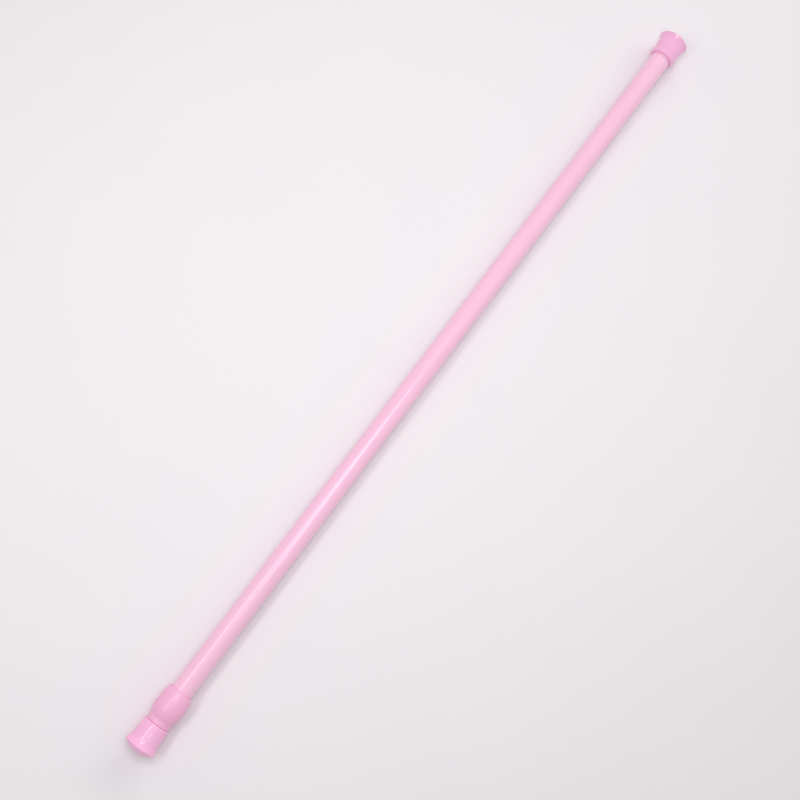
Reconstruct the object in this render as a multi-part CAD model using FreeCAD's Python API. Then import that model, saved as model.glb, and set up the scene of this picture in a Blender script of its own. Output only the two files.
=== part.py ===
"""Spring tension rod: a sliding tube in a fixed tube, with a spring plunger and a twist lock inside.

The rod lies along X. The origin is the centre of the fixed cap's wall face, and the sliding
tube draws out towards +X. It is drawn pushed fully in and unlocked. Lengths are millimetres.
"""
import FreeCAD, Part
import math
import os

V = FreeCAD.Vector
AXIS = V(1, 0, 0)

# Whole rod, from wall face to wall face
CLOSED_LENGTH = 550.0
OPEN_LENGTH = 900.0

# Rolled steel tubes, measured over their coating
OUTER_TUBE_DIAMETER = 13.0
OUTER_TUBE_WALL = 0.6
INNER_TUBE_DIAMETER = 10.0
INNER_TUBE_WALL = 0.5

# Clearances, each the gap between two faces
PRESS_CLEARANCE = 0.02
SLIDE_CLEARANCE = 0.10
PIECE_GAP = 0.3

# Grip caps: a tapered socket that flares to a rim round a crowned wall face
CAP_LENGTH = 17.8
CAP_FLOOR = 4.0
CAP_MOUTH_WALL = 1.3
CAP_TAPER = 0.8
CAP_FLARE = 1.45
CAP_FLARE_LENGTH = 5.6
CAP_RIM_CHAMFER = 0.6
CAP_CROWN = 2.4
CAP_LAND_DIAMETER = 12.0

# Barrel collar: a neck, a belly and a skirt over the fixed tube
COLLAR_LENGTH = 21.4
COLLAR_NECK_WALL = 2.1
COLLAR_NECK_LENGTH = 2.2
COLLAR_BELLY_FROM_NECK = 10.7
COLLAR_SKIRT_WALL = 1.05
COLLAR_BELLY_RISE = 1.35
COLLAR_SOCKET_DEPTH = 15.0

# Split ring that centres the sliding tube
GUIDE_RING_LENGTH = 8.0
GUIDE_RING_SPLIT = 1.4

# Groove rolled into the sliding tube for that ring
ROLL_DEPTH = 0.4
ROLL_RAMP = 0.5

# Bush pressed into the sliding tube, with a D-shaped hole for the plunger
BUSH_FLANGE = 1.6
BUSH_LENGTH = 12.0

# Plunger: snap end, stem, spring flange, eccentric journal, head
STEM_DIAMETER = 5.0
STEM_FLAT_DEPTH = 0.7
SNAP_LENGTH = 4.0
SNAP_HOOK = 0.6
SNAP_TIP_DIAMETER = 3.4
SNAP_SLOT_WIDTH = 1.3
SNAP_SLOT_LENGTH = 11.0
PLUNGER_FLANGE = 2.0
JOURNAL_DIAMETER = 7.0
JOURNAL_LENGTH = 8.4
HEAD_LENGTH = 2.2
HEAD_CHAMFER = 0.6
PLUNGER_END_ROOM = 6.0

# Eccentric ring that wedges in the fixed tube when the rod is twisted
CAM_ECCENTRICITY = 0.4
CAM_CLEARANCE = 0.4
CAM_MOUTH = 5.6

# Compression spring with closed, ground ends
SPRING_LENGTH = 58.0
SPRING_WIRE = 1.1
SPRING_CLEARANCE = 0.5
SPRING_ACTIVE_COILS = 9
SPRING_END_COILS = 1.25

# Fineness: bands to a curved stretch, straight runs to a coil, and sides to the spring's wire
CURVE_BANDS = 2
SPRING_RUNS = 8
WIRE_SIDES = 6

# Radii that several pieces share
OUTER_RADIUS = OUTER_TUBE_DIAMETER / 2
BORE_RADIUS = OUTER_RADIUS - OUTER_TUBE_WALL
INNER_RADIUS = INNER_TUBE_DIAMETER / 2
INNER_BORE_RADIUS = INNER_RADIUS - INNER_TUBE_WALL
STEM_RADIUS = STEM_DIAMETER / 2

# Places along the rod, from the fixed cap's wall face
TRAVEL = OPEN_LENGTH - CLOSED_LENGTH
COLLAR_NECK_X = CLOSED_LENGTH - CAP_LENGTH - SLIDE_CLEARANCE
COLLAR_SKIRT_X = COLLAR_NECK_X - COLLAR_LENGTH
OUTER_TUBE_START_X = CAP_FLOOR
OUTER_TUBE_END_X = COLLAR_SKIRT_X + COLLAR_SOCKET_DEPTH
HEAD_X = CAP_FLOOR + PLUNGER_END_ROOM
JOURNAL_X = HEAD_X + HEAD_LENGTH
FLANGE_X = JOURNAL_X + JOURNAL_LENGTH
SPRING_X = FLANGE_X + PLUNGER_FLANGE
BUSH_X = SPRING_X + SPRING_LENGTH
INNER_TUBE_START_X = BUSH_X + BUSH_FLANGE
INNER_TUBE_END_X = CLOSED_LENGTH - CAP_FLOOR
BUSH_END_X = INNER_TUBE_START_X + BUSH_LENGTH
SNAP_X = BUSH_END_X + PIECE_GAP
GUIDE_RING_END_X = OUTER_TUBE_END_X - TRAVEL - PIECE_GAP
GUIDE_RING_X = GUIDE_RING_END_X - GUIDE_RING_LENGTH


class Section:
    """Half-section of a turned piece, drawn as x along the rod and r out from its axis."""

    def __init__(self, x, r):
        self.points = [V(x, 0, r)]

    def to(self, x, r):
        """Straight to a point."""
        self.points.append(V(x, 0, r))

    def arc_from_level(self, x, r):
        """A curve to a point, leaving parallel to the rod."""
        self.points += level_arc(self.points[-1], V(x, 0, r))

    def arc_to_level(self, x, r):
        """A curve to a point, arriving parallel to the rod."""
        back = level_arc(V(x, 0, r), self.points[-1])
        self.points += back[-2::-1] + [V(x, 0, r)]

    def turned(self):
        """The closed section spun once about the rod's axis."""
        outline = Part.makePolygon(self.points + self.points[:1])
        return Part.Face(outline).revolve(V(0, 0, 0), AXIS, 360)


def level_arc(level_end, other_end):
    """Points, after the first, of a circle's arc that is parallel to the rod at its first end."""
    run = other_end.x - level_end.x
    rise = other_end.z - level_end.z
    radius = (run * run + rise * rise) / (2 * abs(rise))
    turn = 2 * math.atan2(abs(rise), abs(run))
    points = []
    for band in range(1, CURVE_BANDS + 1):
        angle = turn * band / CURVE_BANDS
        along = math.copysign(radius * math.sin(angle), run)
        out = math.copysign(radius * (1 - math.cos(angle)), rise)
        points.append(level_end + V(along, 0, out))
    return points


def rod(radius, x, length, z=0.0):
    """A plain round bar parallel to the rod."""
    return Part.makeCylinder(radius, length, V(x, 0, z), AXIS)


def slab(x, length, width, z, height):
    """A box centred across the rod, used for slots and flats."""
    return Part.makeBox(length, width, height, V(x, -width / 2, z))


def d_bar(radius, flat_z, x, length):
    """A round bar with one flat along its top."""
    flat = slab(x, length, 2 * radius, flat_z, radius)
    return rod(radius, x, length).cut(flat)


def grip_cap(bore_radius):
    """A soft cap with its wall face at x = 0, open towards +X."""
    mouth = OUTER_RADIUS + CAP_MOUTH_WALL
    root = mouth + CAP_TAPER
    rim = root + CAP_FLARE
    rim_x = CAP_CROWN + CAP_RIM_CHAMFER
    section = Section(0, 0)
    section.to(0, CAP_LAND_DIAMETER / 2)
    section.to(CAP_CROWN, rim - CAP_RIM_CHAMFER)
    section.to(rim_x, rim)
    section.arc_to_level(rim_x + CAP_FLARE_LENGTH, root)
    section.to(CAP_LENGTH, mouth)
    section.to(CAP_LENGTH, bore_radius)
    section.to(CAP_FLOOR, bore_radius)
    section.to(CAP_FLOOR, 0)
    return section.turned()


def outer_end_cap():
    return grip_cap(OUTER_RADIUS + PRESS_CLEARANCE)


def inner_end_cap():
    """The same cap with a narrower bore, facing the other way at the sliding end."""
    cap = grip_cap(INNER_RADIUS + PRESS_CLEARANCE)
    cap.rotate(V(0, 0, 0), V(0, 0, 1), 180)
    cap.translate(V(CLOSED_LENGTH, 0, 0))
    return cap


def collar():
    """Barrel collar seated on the fixed tube's mouth, with a neck that guides the sliding tube."""
    guide = INNER_RADIUS + SLIDE_CLEARANCE
    socket = OUTER_RADIUS + PRESS_CLEARANCE
    neck = guide + COLLAR_NECK_WALL
    skirt = OUTER_RADIUS + COLLAR_SKIRT_WALL
    belly = skirt + COLLAR_BELLY_RISE
    neck_root_x = COLLAR_NECK_X - COLLAR_NECK_LENGTH
    belly_x = COLLAR_NECK_X - COLLAR_BELLY_FROM_NECK
    section = Section(COLLAR_NECK_X, guide)
    section.to(COLLAR_NECK_X, neck)
    section.to(neck_root_x, neck)
    section.arc_to_level(belly_x, belly)
    section.arc_from_level(COLLAR_SKIRT_X, skirt)
    section.to(COLLAR_SKIRT_X, socket)
    section.to(OUTER_TUBE_END_X, socket)
    section.to(OUTER_TUBE_END_X, guide)
    return section.turned()


def outer_tube():
    length = OUTER_TUBE_END_X - OUTER_TUBE_START_X
    return rod(OUTER_RADIUS, OUTER_TUBE_START_X, length).cut(rod(BORE_RADIUS, OUTER_TUBE_START_X, length))


def inner_tube():
    """Sliding tube, its wall dipping inwards at the groove rolled for the guide ring."""
    groove_start = GUIDE_RING_X - SLIDE_CLEARANCE
    groove_end = GUIDE_RING_END_X + SLIDE_CLEARANCE
    outside = [
        (INNER_TUBE_START_X, INNER_RADIUS),
        (groove_start - ROLL_RAMP, INNER_RADIUS),
        (groove_start, INNER_RADIUS - ROLL_DEPTH),
        (groove_end, INNER_RADIUS - ROLL_DEPTH),
        (groove_end + ROLL_RAMP, INNER_RADIUS),
        (INNER_TUBE_END_X, INNER_RADIUS),
    ]
    section = Section(*outside[0])
    for x, r in outside[1:]:
        section.to(x, r)
    for x, r in reversed(outside):
        section.to(x, r - INNER_TUBE_WALL)
    return section.turned()


def guide_ring():
    """Split ring that runs in the fixed tube and sits in the sliding tube's groove."""
    outer = BORE_RADIUS - SLIDE_CLEARANCE
    inner = INNER_RADIUS - ROLL_DEPTH + SLIDE_CLEARANCE
    ring = rod(outer, GUIDE_RING_X, GUIDE_RING_LENGTH).cut(rod(inner, GUIDE_RING_X, GUIDE_RING_LENGTH))
    return ring.cut(slab(GUIDE_RING_X, GUIDE_RING_LENGTH, GUIDE_RING_SPLIT, -outer, outer))


def plunger_bush():
    """Bush in the sliding tube's end: a flange for the spring and a D-shaped hole."""
    flange = rod(INNER_RADIUS, BUSH_X, BUSH_FLANGE)
    body = rod(INNER_BORE_RADIUS - PRESS_CLEARANCE, INNER_TUBE_START_X, BUSH_LENGTH)
    hole_flat = STEM_RADIUS - STEM_FLAT_DEPTH + SLIDE_CLEARANCE
    hole = d_bar(STEM_RADIUS + SLIDE_CLEARANCE, hole_flat, BUSH_X, BUSH_FLANGE + BUSH_LENGTH)
    return flange.fuse(body).cut(hole)


def snap_end():
    """Hooked tip that keeps the stem in the bush, split so that it can spring shut."""
    section = Section(SNAP_X, 0)
    section.to(SNAP_X, STEM_RADIUS + SNAP_HOOK)
    section.to(SNAP_X + SNAP_LENGTH, SNAP_TIP_DIAMETER / 2)
    section.to(SNAP_X + SNAP_LENGTH, 0)
    return section.turned()


def lock_plunger():
    """One moulding: head, eccentric journal, spring flange, D-shaped stem and snap end."""
    disc = BORE_RADIUS - PIECE_GAP
    head = Part.makeCone(disc - HEAD_CHAMFER, disc, HEAD_LENGTH, V(HEAD_X, 0, 0), AXIS)
    journal = rod(JOURNAL_DIAMETER / 2, JOURNAL_X, JOURNAL_LENGTH, CAM_ECCENTRICITY)
    flange = rod(disc, FLANGE_X, PLUNGER_FLANGE)
    stem = d_bar(STEM_RADIUS, STEM_RADIUS - STEM_FLAT_DEPTH, SPRING_X, SNAP_X - SPRING_X)
    plunger = head.fuse([journal, flange, stem, snap_end()]).removeSplitter()
    slot_x = SNAP_X + SNAP_LENGTH - SNAP_SLOT_LENGTH
    slot_height = 2 * (STEM_RADIUS + SNAP_HOOK)
    return plunger.cut(slab(slot_x, SNAP_SLOT_LENGTH, SNAP_SLOT_WIDTH, -slot_height / 2, slot_height))


def cam_ring():
    """Eccentric ring, open on its thin side so that it snaps over the journal."""
    outer = BORE_RADIUS - CAM_CLEARANCE
    x = JOURNAL_X + SLIDE_CLEARANCE
    length = JOURNAL_LENGTH - 2 * SLIDE_CLEARANCE
    ring = rod(outer, x, length)
    bore = rod(JOURNAL_DIAMETER / 2 + SLIDE_CLEARANCE, x, length, CAM_ECCENTRICITY)
    mouth = slab(x, length, CAM_MOUTH, CAM_ECCENTRICITY, outer)
    return ring.cut(bore).cut(mouth)


def spring_path():
    """Corners of the spring's centre line: close end coils, then evenly opened ones."""
    radius = STEM_RADIUS + SPRING_CLEARANCE + SPRING_WIRE / 2
    coils = SPRING_ACTIVE_COILS + 2 * SPRING_END_COILS
    opening = SPRING_LENGTH - coils * SPRING_WIRE
    runs = round(coils * SPRING_RUNS)
    corners = []
    for run in range(runs + 1):
        turn = coils * run / runs
        opened = min(max((turn - SPRING_END_COILS) / SPRING_ACTIVE_COILS, 0.0), 1.0)
        x = SPRING_X + turn * SPRING_WIRE + opening * opened
        angle = 2 * math.pi * turn
        corners.append(V(x, radius * math.cos(angle), radius * math.sin(angle)))
    return corners


def wire_section(centre, heading):
    """Section of the spring's wire, square to its heading."""
    side = heading.cross(AXIS).normalize()
    up = heading.cross(side)
    corners = []
    for corner in range(WIRE_SIDES + 1):
        angle = 2 * math.pi * corner / WIRE_SIDES
        corners.append(centre + (side * math.cos(angle) + up * math.sin(angle)) * (SPRING_WIRE / 2))
    return Part.makePolygon(corners)


def tension_spring():
    """Wire mitred round the coils, with its ends ground flat to their seats."""
    corners = spring_path()
    section = wire_section(corners[0], (corners[1] - corners[0]).normalize())
    mitred = 1
    coil = Part.makePolygon(corners).makePipeShell([section], True, False, mitred)
    return coil.common(rod(BORE_RADIUS, SPRING_X, SPRING_LENGTH))


PIECES = [outer_tube, inner_tube, outer_end_cap, inner_end_cap, collar, guide_ring,
          plunger_bush, lock_plunger, cam_ring, tension_spring]


def main():
    os.makedirs("parts", exist_ok=True)
    for make in PIECES:
        name = make.__name__
        shape = make()
        solids = shape.Solids
        print(name, len(solids), "solid", round(shape.Volume, 2), "mm3 valid", shape.isValid())
        solids[0].exportStep("parts/" + name + ".step")


main()
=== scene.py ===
"""Looks of the spring tension rod: smooth turned pieces, a wound spring, finishes, floor, light and camera.

The rod lies along X with the fixed cap's wall face at the origin. Lengths are metres, and sizes
that are easier to read in millimetres are written times MM.
"""
import math

import bmesh
import bpy
from mathutils import Matrix, Vector


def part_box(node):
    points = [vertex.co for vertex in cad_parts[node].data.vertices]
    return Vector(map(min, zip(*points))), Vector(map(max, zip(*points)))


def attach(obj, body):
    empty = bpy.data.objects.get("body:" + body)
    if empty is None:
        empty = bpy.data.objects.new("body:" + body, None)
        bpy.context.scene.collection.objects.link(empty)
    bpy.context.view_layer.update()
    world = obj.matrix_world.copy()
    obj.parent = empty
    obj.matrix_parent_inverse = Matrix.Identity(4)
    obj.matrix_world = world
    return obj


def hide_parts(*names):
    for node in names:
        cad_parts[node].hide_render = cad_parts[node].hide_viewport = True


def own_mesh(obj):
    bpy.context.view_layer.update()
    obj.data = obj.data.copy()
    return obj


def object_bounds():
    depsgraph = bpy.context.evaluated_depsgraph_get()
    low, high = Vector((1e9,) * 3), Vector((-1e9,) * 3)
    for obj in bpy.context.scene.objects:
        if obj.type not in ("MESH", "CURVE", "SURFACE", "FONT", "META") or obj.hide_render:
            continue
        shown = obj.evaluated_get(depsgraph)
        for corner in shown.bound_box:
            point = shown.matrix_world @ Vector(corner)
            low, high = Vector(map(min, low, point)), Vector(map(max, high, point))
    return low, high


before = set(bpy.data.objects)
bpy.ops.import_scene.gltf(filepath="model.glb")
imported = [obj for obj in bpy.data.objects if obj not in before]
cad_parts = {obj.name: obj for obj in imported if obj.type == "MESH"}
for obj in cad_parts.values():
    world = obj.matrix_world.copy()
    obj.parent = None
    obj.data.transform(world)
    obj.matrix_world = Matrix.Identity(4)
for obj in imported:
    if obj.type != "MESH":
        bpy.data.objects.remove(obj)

MM = 0.001
cad_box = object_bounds()

# Walls and fits of the two tubes
OUTER_TUBE_WALL = 0.6 * MM
INNER_TUBE_WALL = 0.5 * MM
PRESS_CLEARANCE = 0.02 * MM
SLIDE_CLEARANCE = 0.10 * MM
TUBE_EDGE = 0.15 * MM

# Groove rolled into the sliding tube for its guide ring
ROLL_DEPTH = 0.4 * MM
ROLL_RAMP = 0.5 * MM
ROLL_EDGE = 0.3 * MM

# Grip caps
CAP_FLOOR = 4.0 * MM
CAP_MOUTH_WALL = 1.3 * MM
CAP_TAPER = 0.8 * MM
CAP_FLARE_LENGTH = 5.6 * MM
CAP_RIM_CHAMFER = 0.6 * MM
CAP_RIM_EDGE = 0.4 * MM
CAP_CROWN = 2.4 * MM
CAP_LAND_RADIUS = 6.0 * MM
CAP_LAND_EDGE = 2.0 * MM
CAP_MOUTH_EDGE = 0.35 * MM

# Rings moulded into a cap's wall face for grip
GRIP_RING_RADII = (2.6 * MM, 4.4 * MM)
GRIP_RING_WIDTH = 0.7 * MM
GRIP_RING_DEPTH = 0.25 * MM
GRIP_RING_EDGE = 0.1 * MM

# Barrel collar
COLLAR_NECK_WALL = 2.1 * MM
COLLAR_NECK_LENGTH = 2.2 * MM
COLLAR_BELLY_FROM_NECK = 10.7 * MM
COLLAR_SKIRT_WALL = 1.05 * MM
COLLAR_HOLLOW_SHARE = 0.2
COLLAR_EDGE = 0.3 * MM
COLLAR_LEAD_IN = 0.35 * MM
COLLAR_LEAD_IN_DEPTH = 1.0 * MM

# Spring wire and its coils
SPRING_WIRE = 1.1 * MM
SPRING_ACTIVE_COILS = 9
SPRING_END_COILS = 1.25

# Fineness of the meshes, and the angle past which an edge is shaded sharp
ROUND_STEPS = 160
EDGE_STEPS = 12
SPRING_COIL_STEPS = 40
WIRE_STEPS = 14
MERGE_DISTANCE = 0.0005 * MM
CORNER_ANGLE = math.radians(40)

# Numbers of a Mix node's colour sockets, because several of its sockets share a name
MIX_A, MIX_B, MIX_RESULT = 6, 7, 2

# Room: its colour, how much it lights the rod, how pale it looks behind it and in its shine, and its table
ROOM_COLOUR = "#F8F6F9"
FILL_STRENGTH = 0.48
BACKDROP_STRENGTH = 0.85
TABLE_HALF_WIDTH = 4.0

# Camera, on the photograph's line of sight: its roll in degrees, its lens and sensor in millimetres
CAMERA_PLACE = (0.44821, 0.0, 0.68279)
CAMERA_AIM = (0.30216, -0.00117, 0.0)
CAMERA_ROLL = 36.69
CAMERA_LENS = 52.633
CAMERA_SENSOR = 36.0
CAMERA_NEAREST = 0.01


def add(tree, kind, inputs=None, **settings):
    """Adds a node with its settings, and fills or links its inputs by name or number."""
    node = tree.nodes.new(kind)
    for name, value in settings.items():
        setattr(node, name, value)
    for key, value in (inputs or {}).items():
        if isinstance(value, bpy.types.NodeSocket):
            tree.links.new(value, node.inputs[key])
        else:
            node.inputs[key].default_value = value
    return node


def colour(hex_code):
    """An sRGB hex colour as linear RGBA."""
    linear = []
    for start in (1, 3, 5):
        value = int(hex_code[start:start + 2], 16) / 255
        linear.append(value / 12.92 if value <= 0.04045 else ((value + 0.055) / 1.055) ** 2.4)
    return (*linear, 1.0)


def new_material(name):
    """An empty node material with its output and Principled shader."""
    material = bpy.data.materials.new(name)
    material.use_nodes = True
    tree = material.node_tree
    tree.nodes.clear()
    shader = add(tree, "ShaderNodeBsdfPrincipled")
    add(tree, "ShaderNodeOutputMaterial", {"Surface": shader.outputs["BSDF"]})
    return material, tree, shader


def link_finish(tree, shader, tint, gloss, skin):
    """Gives a shader its colour from a Mix, its roughness from a Map Range and its relief from a Bump."""
    tree.links.new(tint.outputs[MIX_RESULT], shader.inputs["Base Color"])
    tree.links.new(gloss.outputs["Result"], shader.inputs["Roughness"])
    tree.links.new(skin.outputs["Normal"], shader.inputs["Normal"])


def coated_tube_steel():
    """Rolled steel in a shrunk-on PVC film: glossy pink, with faint lengthwise ripples in its shine."""
    material, tree, shader = new_material("pvc_film_on_rolled_steel")
    place = add(tree, "ShaderNodeTexCoord").outputs["Object"]
    ripple_length, ripple_width = 45 * MM, 3.5 * MM
    along = add(tree, "ShaderNodeMapping",
                {"Vector": place, "Scale": (1 / ripple_length, 1 / ripple_width, 1 / ripple_width)})
    ripple = add(tree, "ShaderNodeTexNoise",
                 {"Vector": along.outputs["Vector"], "Scale": 1.0, "Detail": 2.0, "Roughness": 0.5})
    # Orange peel of about 0.4 mm, drawn at 1.2 mm so that it shows
    peel = add(tree, "ShaderNodeTexNoise",
               {"Vector": place, "Scale": 1 / (1.2 * MM), "Detail": 2.0})
    tint = add(tree, "ShaderNodeMix",
               {"Factor": ripple.outputs["Fac"], MIX_A: colour("#FBC1DD"), MIX_B: colour("#FEC8E2")},
               data_type="RGBA")
    gloss = add(tree, "ShaderNodeMapRange",
                {"Value": ripple.outputs["Fac"], "From Min": 0.3, "From Max": 0.7,
                 "To Min": 0.26, "To Max": 0.36})
    waves = add(tree, "ShaderNodeBump",
                {"Height": ripple.outputs["Fac"], "Strength": 0.35, "Distance": 0.12 * MM})
    skin = add(tree, "ShaderNodeBump",
               {"Height": peel.outputs["Fac"], "Strength": 0.25, "Distance": 0.02 * MM,
                "Normal": waves.outputs["Normal"]})
    link_finish(tree, shader, tint, gloss, skin)
    shader.inputs["IOR"].default_value = 1.5
    shader.inputs["Coat Weight"].default_value = 0.5
    shader.inputs["Coat Roughness"].default_value = 0.2
    return material


def cap_vinyl():
    """Soft vinyl from a polished mould: the glossiest piece, with slow waves in its reflections."""
    material, tree, shader = new_material("moulded_soft_vinyl")
    place = add(tree, "ShaderNodeTexCoord").outputs["Object"]
    flow = add(tree, "ShaderNodeTexNoise",
               {"Vector": place, "Scale": 1 / (6 * MM), "Detail": 2.0, "Roughness": 0.5})
    # Pits of a few hundredths of a millimetre, drawn at 0.8 mm so that they show
    pits = add(tree, "ShaderNodeTexNoise",
               {"Vector": place, "Scale": 1 / (0.8 * MM), "Detail": 3.0})
    tint = add(tree, "ShaderNodeMix",
               {"Factor": flow.outputs["Fac"], MIX_A: colour("#FBB6DC"), MIX_B: colour("#FDBFE1")},
               data_type="RGBA")
    gloss = add(tree, "ShaderNodeMapRange",
                {"Value": pits.outputs["Fac"], "From Min": 0.35, "From Max": 0.65,
                 "To Min": 0.16, "To Max": 0.24})
    waves = add(tree, "ShaderNodeBump",
                {"Height": flow.outputs["Fac"], "Strength": 0.8, "Distance": 0.6 * MM})
    skin = add(tree, "ShaderNodeBump",
               {"Height": pits.outputs["Fac"], "Strength": 0.15, "Distance": 0.015 * MM,
                "Normal": waves.outputs["Normal"]})
    link_finish(tree, shader, tint, gloss, skin)
    shader.inputs["IOR"].default_value = 1.53
    return material


def collar_plastic():
    """Polypropylene from a fine-sparked mould: an even satin with a soft, wide shine."""
    material, tree, shader = new_material("moulded_satin_polypropylene")
    place = add(tree, "ShaderNodeTexCoord").outputs["Object"]
    shade = add(tree, "ShaderNodeTexNoise",
                {"Vector": place, "Scale": 1 / (9 * MM), "Detail": 2.0})
    # Spark texture of about 0.1 mm, drawn at 0.5 mm so that it shows
    spark = add(tree, "ShaderNodeTexNoise",
                {"Vector": place, "Scale": 1 / (0.5 * MM), "Detail": 3.0, "Roughness": 0.6})
    tint = add(tree, "ShaderNodeMix",
               {"Factor": shade.outputs["Fac"], MIX_A: colour("#F6B2D4"), MIX_B: colour("#F9BADA")},
               data_type="RGBA")
    gloss = add(tree, "ShaderNodeMapRange",
                {"Value": spark.outputs["Fac"], "From Min": 0.35, "From Max": 0.65,
                 "To Min": 0.27, "To Max": 0.35})
    skin = add(tree, "ShaderNodeBump",
               {"Height": spark.outputs["Fac"], "Strength": 0.3, "Distance": 0.02 * MM})
    link_finish(tree, shader, tint, gloss, skin)
    shader.inputs["IOR"].default_value = 1.49
    return material


def natural_nylon():
    """Unfilled moulded nylon: creamy, faintly clouded and slightly waxy."""
    material, tree, shader = new_material("moulded_natural_nylon")
    place = add(tree, "ShaderNodeTexCoord").outputs["Object"]
    cloud = add(tree, "ShaderNodeTexNoise",
                {"Vector": place, "Scale": 1 / (4 * MM), "Detail": 3.0})
    tint = add(tree, "ShaderNodeMix",
               {"Factor": cloud.outputs["Fac"], MIX_A: colour("#E6E0CC"), MIX_B: colour("#F1EDDF")},
               data_type="RGBA")
    gloss = add(tree, "ShaderNodeMapRange",
                {"Value": cloud.outputs["Fac"], "To Min": 0.42, "To Max": 0.55})
    skin = add(tree, "ShaderNodeBump",
               {"Height": cloud.outputs["Fac"], "Strength": 0.2, "Distance": 0.03 * MM})
    link_finish(tree, shader, tint, gloss, skin)
    shader.inputs["IOR"].default_value = 1.53
    return material


def spring_wire_steel():
    """Drawn and oil-tempered spring wire: dark steel with patchy sheen."""
    material, tree, shader = new_material("drawn_spring_wire")
    place = add(tree, "ShaderNodeTexCoord").outputs["Object"]
    scale = add(tree, "ShaderNodeTexNoise",
                {"Vector": place, "Scale": 1 / (1.5 * MM), "Detail": 4.0})
    tint = add(tree, "ShaderNodeMix",
               {"Factor": scale.outputs["Fac"], MIX_A: colour("#8D8F93"), MIX_B: colour("#B5B6B8")},
               data_type="RGBA")
    gloss = add(tree, "ShaderNodeMapRange",
                {"Value": scale.outputs["Fac"], "To Min": 0.25, "To Max": 0.42})
    skin = add(tree, "ShaderNodeBump",
               {"Height": scale.outputs["Fac"], "Strength": 0.2, "Distance": 0.02 * MM})
    link_finish(tree, shader, tint, gloss, skin)
    shader.inputs["Metallic"].default_value = 1.0
    return material


def inputs_of(tree, **sockets):
    """Gives a node tree its Geometry output and named inputs, and returns the Group Input's outputs."""
    tree.interface.new_socket("Geometry", in_out="OUTPUT", socket_type="NodeSocketGeometry")
    for name, kind in sockets.items():
        tree.interface.new_socket(name, in_out="INPUT", socket_type="NodeSocket" + kind)
    return add(tree, "NodeGroupInput").outputs


def end_of(tree, geometry, material):
    """Smooth shading broken at true corners, then Realize Instances, Set Material and the output."""
    smooth = add(tree, "GeometryNodeSetShadeSmooth",
                 {"Geometry": geometry, "Shade Smooth": True}, domain="FACE")
    fold = add(tree, "GeometryNodeInputMeshEdgeAngle")
    corner = add(tree, "FunctionNodeCompare",
                 {"A": fold.outputs["Unsigned Angle"], "B": CORNER_ANGLE}, operation="GREATER_THAN")
    broken = add(tree, "GeometryNodeSetShadeSmooth",
                 {"Geometry": smooth.outputs[0], "Selection": corner.outputs["Result"],
                  "Shade Smooth": False}, domain="EDGE")
    real = add(tree, "GeometryNodeRealizeInstances", {"Geometry": broken.outputs[0]})
    finished = add(tree, "GeometryNodeSetMaterial", {"Geometry": real.outputs[0], "Material": material})
    add(tree, "NodeGroupOutput", {"Geometry": finished.outputs[0]})


def turning_tree():
    """Rounds the corners of a half-section by its edge_radius attribute and turns it about X."""
    tree = bpy.data.node_groups.new("turned_on_a_lathe", "GeometryNodeTree")
    given = inputs_of(tree, HalfSection="Geometry", RoundSteps="Int", EdgeSteps="Int", Material="Material")
    line = add(tree, "GeometryNodeMeshToCurve", {"Mesh": given["HalfSection"]})
    radius = add(tree, "GeometryNodeInputNamedAttribute", {"Name": "edge_radius"}, data_type="FLOAT")
    rounded = add(tree, "GeometryNodeFilletCurve",
                  {"Curve": line.outputs["Curve"], "Radius": radius.outputs["Attribute"],
                   "Count": given["EdgeSteps"], "Limit Radius": True}, mode="POLY")
    points = add(tree, "GeometryNodeAttributeDomainSize",
                 {"Geometry": rounded.outputs["Curve"]}, component="CURVE")
    seam = add(tree, "FunctionNodeIntegerMath", {0: given["RoundSteps"], 1: 1}, operation="ADD")
    grid = add(tree, "GeometryNodeMeshGrid",
               {"Vertices X": points.outputs["Point Count"], "Vertices Y": seam.outputs[0]})
    index = add(tree, "GeometryNodeInputIndex").outputs[0]
    row = add(tree, "FunctionNodeIntegerMath", {0: index, 1: seam.outputs[0]}, operation="DIVIDE_FLOOR")
    column = add(tree, "FunctionNodeIntegerMath", {0: index, 1: seam.outputs[0]}, operation="MODULO")
    place = add(tree, "GeometryNodeInputPosition")
    point = add(tree, "GeometryNodeSampleIndex",
                {"Geometry": rounded.outputs["Curve"], "Value": place.outputs[0], "Index": row.outputs[0]},
                data_type="FLOAT_VECTOR", domain="POINT")
    section = add(tree, "ShaderNodeSeparateXYZ", {0: point.outputs["Value"]})
    share = add(tree, "ShaderNodeMath", {0: column.outputs[0], 1: given["RoundSteps"]}, operation="DIVIDE")
    turn = add(tree, "ShaderNodeMath", {0: share.outputs[0], 1: math.tau}, operation="MULTIPLY")
    across = add(tree, "ShaderNodeMath", {0: turn.outputs[0]}, operation="SINE")
    up = add(tree, "ShaderNodeMath", {0: turn.outputs[0]}, operation="COSINE")
    y = add(tree, "ShaderNodeMath", {0: section.outputs["Z"], 1: across.outputs[0]}, operation="MULTIPLY")
    z = add(tree, "ShaderNodeMath", {0: section.outputs["Z"], 1: up.outputs[0]}, operation="MULTIPLY")
    where = add(tree, "ShaderNodeCombineXYZ", {0: section.outputs["X"], 1: y.outputs[0], 2: z.outputs[0]})
    turned = add(tree, "GeometryNodeSetPosition",
                 {"Geometry": grid.outputs["Mesh"], "Position": where.outputs[0]})
    closed = add(tree, "GeometryNodeMergeByDistance",
                 {"Geometry": turned.outputs[0], "Distance": MERGE_DISTANCE})
    end_of(tree, closed.outputs[0], given["Material"])
    return tree


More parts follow.
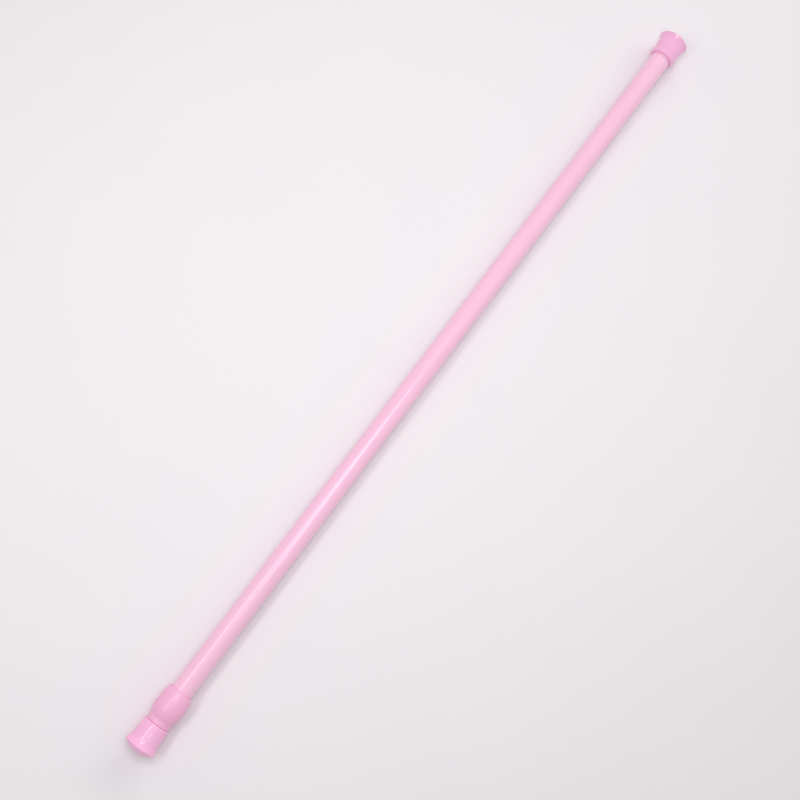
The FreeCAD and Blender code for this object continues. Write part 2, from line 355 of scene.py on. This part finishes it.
def winding_tree():
    """Winds a compression spring about X, with close end coils that are ground flat."""
    tree = bpy.data.node_groups.new("wound_spring", "GeometryNodeTree")
    given = inputs_of(tree, Start="Float", Length="Float", CoilRadius="Float", Wire="Float",
                      ActiveCoils="Float", EndCoils="Float", CoilSteps="Int", WireSteps="Int",
                      Material="Material")
    ends = add(tree, "ShaderNodeMath", {0: given["EndCoils"], 1: 2.0}, operation="MULTIPLY")
    coils = add(tree, "ShaderNodeMath", {0: given["ActiveCoils"], 1: ends.outputs[0]}, operation="ADD")
    steps = add(tree, "ShaderNodeMath", {0: coils.outputs[0], 1: given["CoilSteps"]}, operation="MULTIPLY")
    line = add(tree, "GeometryNodeCurvePrimitiveLine")
    count = add(tree, "ShaderNodeMath", {0: steps.outputs[0], 1: 1.0}, operation="ADD")
    path = add(tree, "GeometryNodeResampleCurve",
               {"Curve": line.outputs[0], "Count": count.outputs[0]}, mode="COUNT")
    index = add(tree, "GeometryNodeInputIndex").outputs[0]
    turns = add(tree, "ShaderNodeMath", {0: index, 1: given["CoilSteps"]}, operation="DIVIDE")
    opened_end = add(tree, "ShaderNodeMath", {0: given["EndCoils"], 1: given["ActiveCoils"]}, operation="ADD")
    opened = add(tree, "ShaderNodeMapRange",
                 {"Value": turns.outputs[0], "From Min": given["EndCoils"],
                  "From Max": opened_end.outputs[0]})
    stacked = add(tree, "ShaderNodeMath", {0: coils.outputs[0], 1: given["Wire"]}, operation="MULTIPLY")
    opening = add(tree, "ShaderNodeMath", {0: given["Length"], 1: stacked.outputs[0]}, operation="SUBTRACT")
    first = add(tree, "ShaderNodeMath",
                {0: turns.outputs[0], 1: given["Wire"], 2: given["Start"]}, operation="MULTIPLY_ADD")
    x = add(tree, "ShaderNodeMath",
            {0: opened.outputs["Result"], 1: opening.outputs[0], 2: first.outputs[0]},
            operation="MULTIPLY_ADD")
    angle = add(tree, "ShaderNodeMath", {0: turns.outputs[0], 1: math.tau}, operation="MULTIPLY")
    across = add(tree, "ShaderNodeMath", {0: angle.outputs[0]}, operation="COSINE")
    up = add(tree, "ShaderNodeMath", {0: angle.outputs[0]}, operation="SINE")
    y = add(tree, "ShaderNodeMath", {0: across.outputs[0], 1: given["CoilRadius"]}, operation="MULTIPLY")
    z = add(tree, "ShaderNodeMath", {0: up.outputs[0], 1: given["CoilRadius"]}, operation="MULTIPLY")
    where = add(tree, "ShaderNodeCombineXYZ", {0: x.outputs[0], 1: y.outputs[0], 2: z.outputs[0]})
    coil = add(tree, "GeometryNodeSetPosition", {"Geometry": path.outputs[0], "Position": where.outputs[0]})
    half = add(tree, "ShaderNodeMath", {0: given["Wire"], 1: 0.5}, operation="MULTIPLY")
    section = add(tree, "GeometryNodeCurvePrimitiveCircle",
                  {"Resolution": given["WireSteps"], "Radius": half.outputs[0]})
    wire = add(tree, "GeometryNodeCurveToMesh",
               {"Curve": coil.outputs[0], "Profile Curve": section.outputs[0], "Fill Caps": True})
    place = add(tree, "GeometryNodeInputPosition")
    apart = add(tree, "ShaderNodeSeparateXYZ", {0: place.outputs[0]})
    finish = add(tree, "ShaderNodeMath", {0: given["Start"], 1: given["Length"]}, operation="ADD")
    ground = add(tree, "ShaderNodeClamp",
                 {"Value": apart.outputs["X"], "Min": given["Start"], "Max": finish.outputs[0]})
    flat = add(tree, "ShaderNodeCombineXYZ",
               {0: ground.outputs[0], 1: apart.outputs["Y"], 2: apart.outputs["Z"]})
    seated = add(tree, "GeometryNodeSetPosition", {"Geometry": wire.outputs[0], "Position": flat.outputs[0]})
    end_of(tree, seated.outputs[0], given["Material"])
    return tree


def made_by(tree, name, start_mesh, **values):
    """Runs a node tree on a mesh and returns its result as a plain mesh object."""
    maker = bpy.data.objects.new(name + "_maker", start_mesh)
    bpy.context.scene.collection.objects.link(maker)
    modifier = maker.modifiers.new("tree", "NODES")
    modifier.node_group = tree
    for socket in tree.interface.items_tree:
        if socket.in_out == "INPUT" and socket.name in values:
            modifier[socket.identifier] = values[socket.name]
    evaluated = maker.evaluated_get(bpy.context.evaluated_depsgraph_get())
    mesh = bpy.data.meshes.new_from_object(evaluated)
    mesh.name = name
    maker.modifiers.clear()
    bpy.data.objects.remove(maker)
    facing = bmesh.new()
    facing.from_mesh(mesh)
    bmesh.ops.remove_doubles(facing, verts=facing.verts, dist=MERGE_DISTANCE)
    bmesh.ops.recalc_face_normals(facing, faces=facing.faces)
    facing.to_mesh(mesh)
    facing.free()
    piece = bpy.data.objects.new(name, mesh)
    bpy.context.scene.collection.objects.link(piece)
    return piece


def turned_piece(name, corners, material):
    """A piece turned from corners (x, r, edge radius) of its half-section."""
    mesh = bpy.data.meshes.new(name + "_half_section")
    mesh.from_pydata([(x, 0, r) for x, r, edge in corners],
                     [(i, i + 1) for i in range(len(corners) - 1)], [])
    radius = mesh.attributes.new("edge_radius", "FLOAT", "POINT")
    for i, corner in enumerate(corners):
        radius.data[i].value = corner[2]
    return made_by(lathe, name, mesh, RoundSteps=ROUND_STEPS, EdgeSteps=EDGE_STEPS, Material=material)


def curve_from_level(x, r, far_x, far_r):
    """The corner whose rounding is an arc that is level at (x, r) and ends at the far point."""
    run, rise = far_x - x, far_r - r
    turn = 2 * math.atan2(abs(rise), abs(run))
    radius = (run * run + rise * rise) / (2 * abs(rise))
    return (x + math.copysign(radius * math.tan(turn / 2), run), r, radius)


def reach(node):
    """A node's first x, last x and outer radius."""
    low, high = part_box(node)
    return low[0], high[0], high[2]


def grip_cap(name, node, bore, inward):
    """A grip cap whose wall face looks away from inward, +1 or -1 along X."""
    first, last, rim = reach(node)
    wall_x = first if inward > 0 else last
    mouth = outer_radius + CAP_MOUTH_WALL
    root = mouth + CAP_TAPER
    length = last - first
    rim_x = CAP_CROWN + CAP_RIM_CHAMFER
    crown_radius = rim - CAP_RIM_CHAMFER
    corners = [(0, 0, 0)]
    for ring in GRIP_RING_RADII:
        inside, outside = ring - GRIP_RING_WIDTH / 2, ring + GRIP_RING_WIDTH / 2
        corners += [(0, inside, GRIP_RING_EDGE), (GRIP_RING_DEPTH, inside, GRIP_RING_EDGE),
                    (GRIP_RING_DEPTH, outside, GRIP_RING_EDGE), (0, outside, GRIP_RING_EDGE)]
    corners += [(0, CAP_LAND_RADIUS, CAP_LAND_EDGE),
                (CAP_CROWN, crown_radius, CAP_RIM_EDGE), (rim_x, rim, CAP_RIM_EDGE),
                curve_from_level(rim_x + CAP_FLARE_LENGTH, root, rim_x, rim),
                (length, mouth, CAP_MOUTH_EDGE), (length, bore, CAP_MOUTH_EDGE),
                (CAP_FLOOR, bore, 0), (CAP_FLOOR, 0, 0)]
    placed = [(wall_x + inward * x, r, edge) for x, r, edge in corners]
    return turned_piece(name, placed, finishes["cap_vinyl"])


def barrel_collar():
    """The collar: a neck round the sliding tube, a belly, and a skirt over the fixed tube."""
    skirt_x, neck_x, belly = reach("collar")
    guide = inner_radius + SLIDE_CLEARANCE
    socket = outer_radius + PRESS_CLEARANCE
    neck = guide + COLLAR_NECK_WALL
    skirt = outer_radius + COLLAR_SKIRT_WALL
    root_x = neck_x - COLLAR_NECK_LENGTH
    belly_x = neck_x - COLLAR_BELLY_FROM_NECK
    hollow_end = (root_x + COLLAR_HOLLOW_SHARE * (belly_x - root_x),
                  neck + COLLAR_HOLLOW_SHARE * (belly - neck))
    seat_x = outer_end
    corners = [(seat_x, guide, 0), (neck_x, guide, COLLAR_EDGE), (neck_x, neck, COLLAR_EDGE),
               curve_from_level(root_x, neck, *hollow_end), curve_from_level(belly_x, belly, *hollow_end),
               curve_from_level(belly_x, belly, skirt_x, skirt),
               (skirt_x, skirt, COLLAR_EDGE), (skirt_x, socket + COLLAR_LEAD_IN, COLLAR_EDGE / 2),
               (skirt_x + COLLAR_LEAD_IN_DEPTH, socket, 0), (seat_x, socket, 0), (seat_x, guide, 0)]
    return turned_piece("barrel_collar", corners, finishes["collar_plastic"])


def fixed_tube():
    """The fixed tube, whose half-section starts and ends at the middle of its bore."""
    bore = outer_radius - OUTER_TUBE_WALL
    middle = (outer_start + outer_end) / 2
    corners = [(middle, bore, 0), (outer_end, bore, TUBE_EDGE), (outer_end, outer_radius, TUBE_EDGE),
               (outer_start, outer_radius, TUBE_EDGE), (outer_start, bore, TUBE_EDGE), (middle, bore, 0)]
    return turned_piece("fixed_tube_skin", corners, finishes["coated_tube"])


def sliding_tube():
    """The sliding tube, its wall dipping inwards at the groove rolled for the guide ring."""
    start, end, radius = reach("inner_tube")
    ring_start, ring_end = reach("guide_ring")[:2]
    groove_start, groove_end = ring_start - SLIDE_CLEARANCE, ring_end + SLIDE_CLEARANCE
    groove = [(groove_start - ROLL_RAMP, 0), (groove_start, ROLL_DEPTH),
              (groove_end, ROLL_DEPTH), (groove_end + ROLL_RAMP, 0)]
    bore = radius - INNER_TUBE_WALL
    corners = [(start, bore, TUBE_EDGE), (start, radius, TUBE_EDGE)]
    corners += [(x, radius - dip, ROLL_EDGE) for x, dip in groove]
    corners += [(end, radius, TUBE_EDGE), (end, bore, TUBE_EDGE)]
    corners += [(x, bore - dip, ROLL_EDGE) for x, dip in reversed(groove)]
    meeting = ((start + groove[0][0]) / 2, bore, 0)
    return turned_piece("sliding_tube_skin", [meeting] + corners + [meeting], finishes["coated_tube"])


def wound_spring():
    """The spring, wound at its length at rest."""
    start, end, radius = reach("tension_spring")
    return made_by(winding_tree(), "wound_spring", bpy.data.meshes.new("spring_start"),
                   Start=start, Length=end - start, CoilRadius=radius - SPRING_WIRE / 2,
                   Wire=SPRING_WIRE, ActiveCoils=float(SPRING_ACTIVE_COILS), EndCoils=SPRING_END_COILS,
                   CoilSteps=SPRING_COIL_STEPS, WireSteps=WIRE_STEPS, Material=finishes["spring_steel"])


def floor():
    """A pale matt table top under the rod."""
    material, tree, shader = new_material("matt_white_table_top")
    place = add(tree, "ShaderNodeTexCoord").outputs["Object"]
    mottle = add(tree, "ShaderNodeTexNoise", {"Vector": place, "Scale": 1 / (60 * MM), "Detail": 3.0})
    tint = add(tree, "ShaderNodeMix",
               {"Factor": mottle.outputs["Fac"], MIX_A: colour("#EEEBED"), MIX_B: colour("#F1EEEF")},
               data_type="RGBA")
    tree.links.new(tint.outputs[MIX_RESULT], shader.inputs["Base Color"])
    shader.inputs["Roughness"].default_value = 0.8
    height = cad_box[0][2]
    corners = [(x * TABLE_HALF_WIDTH, y * TABLE_HALF_WIDTH, height)
               for x, y in ((-1, -1), (1, -1), (1, 1), (-1, 1))]
    mesh = bpy.data.meshes.new("table_top")
    mesh.from_pydata(corners, [], [(0, 1, 2, 3)])
    mesh.materials.append(material)
    table = bpy.data.objects.new("table_top", mesh)
    bpy.context.scene.collection.objects.link(table)


def area_light(name, place, aim, along, size, power):
    """A soft rectangular lamp at a place, aimed at a point, with its first side along a direction."""
    lamp = bpy.data.lights.new(name, "AREA")
    lamp.shape = "RECTANGLE"
    lamp.size, lamp.size_y = size
    lamp.energy = power
    stand = bpy.data.objects.new(name, lamp)
    stand.location = place
    back = (Vector(place) - Vector(aim)).normalized()
    side = back.cross(Vector(along)).normalized()
    stand.rotation_euler = Matrix((side.cross(back), side, back)).transposed().to_euler()
    bpy.context.scene.collection.objects.link(stand)


def lighting():
    """An even room fill, three softboxes for the near half's streak, and a wide panel past the far end."""
    world = bpy.data.worlds.new("room_fill")
    world.use_nodes = True
    tree = world.node_tree
    path = add(tree, "ShaderNodeLightPath").outputs
    reflected = add(tree, "ShaderNodeMath", {0: path["Is Glossy Ray"], 1: path["Is Transmission Ray"]},
                    operation="MAXIMUM")
    shown = add(tree, "ShaderNodeMath", {0: path["Is Camera Ray"], 1: reflected.outputs[0]},
                operation="MAXIMUM")
    strength = add(tree, "ShaderNodeMapRange",
                   {"Value": shown.outputs[0], "To Min": FILL_STRENGTH, "To Max": BACKDROP_STRENGTH})
    background = tree.nodes["Background"]
    background.inputs["Color"].default_value = colour(ROOM_COLOUR)
    tree.links.new(strength.outputs["Result"], background.inputs["Strength"])
    bpy.context.scene.world = world
    area_light("near_softbox", place=(0.56, -0.26, 0.62), aim=(0.54, -0.16, 0.0),
               along=(1, 0, 0), size=(0.46, 0.10), power=1.0)
    area_light("middle_softbox", place=(0.26, -0.065, 0.70), aim=(-0.04, -0.03, 0.0),
               along=(1, -0.6, 0), size=(0.24, 0.22), power=1.2)
    area_light("small_softbox", place=(0.40, 0.12, 0.70), aim=(0.10, 0.10, 0.0),
               along=(1, 0.1, 0), size=(0.22, 0.09), power=0.42)
    area_light("far_panel", place=(-1.15, 0.10, 0.80), aim=(0.10, 0.04, 0.0),
               along=(0, 1, 0), size=(1.8, 0.4), power=8.8)


def camera():
    """The camera on the photograph's line of sight, with no shift and no depth of field."""
    lens = bpy.data.cameras.new("photo_camera")
    lens.lens = CAMERA_LENS
    lens.sensor_fit = "HORIZONTAL"
    lens.sensor_width = CAMERA_SENSOR
    lens.clip_start = CAMERA_NEAREST
    stand = bpy.data.objects.new("photo_camera", lens)
    stand.location = CAMERA_PLACE
    sight = Vector(CAMERA_AIM) - Vector(CAMERA_PLACE)
    upright = sight.to_track_quat("-Z", "Y").to_matrix()
    stand.rotation_euler = (upright @ Matrix.Rotation(math.radians(CAMERA_ROLL), 3, "Z")).to_euler()
    bpy.context.scene.collection.objects.link(stand)
    bpy.context.scene.camera = stand


def dress(piece, body, slot, *nodes):
    """Puts a finished piece on its body in place of CAD nodes; slot is not used."""
    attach(piece, body)
    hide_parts(*nodes)


finishes = {
    "coated_tube": coated_tube_steel(),
    "cap_vinyl": cap_vinyl(),
    "collar_plastic": collar_plastic(),
    "natural_nylon": natural_nylon(),
    "spring_steel": spring_wire_steel(),
}
lathe = turning_tree()
outer_start, outer_end, outer_radius = reach("outer_tube")
inner_radius = reach("inner_tube")[2]

dress(fixed_tube(), "fixed_tube", "coated_tube", "outer_tube")
dress(sliding_tube(), "sliding_tube", "coated_tube", "inner_tube")
fixed_cap = grip_cap("fixed_grip_cap", "outer_end_cap", outer_radius + PRESS_CLEARANCE, 1)
dress(fixed_cap, "fixed_tube", "cap_vinyl", "outer_end_cap")
sliding_cap = grip_cap("sliding_grip_cap", "inner_end_cap", inner_radius + PRESS_CLEARANCE, -1)
dress(sliding_cap, "sliding_tube", "cap_vinyl", "inner_end_cap")
dress(barrel_collar(), "fixed_tube", "collar_plastic", "collar")

spring = wound_spring()
dress(spring, "sliding_tube", "spring_steel", "tension_spring")
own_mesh(spring)

for inside_node in ("guide_ring", "plunger_bush", "lock_plunger", "cam_ring"):
    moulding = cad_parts[inside_node]
    moulding.data.materials.clear()
    moulding.data.materials.append(finishes["natural_nylon"])

floor()
lighting()
camera()
bpy.context.scene.view_settings.view_transform = "Standard"
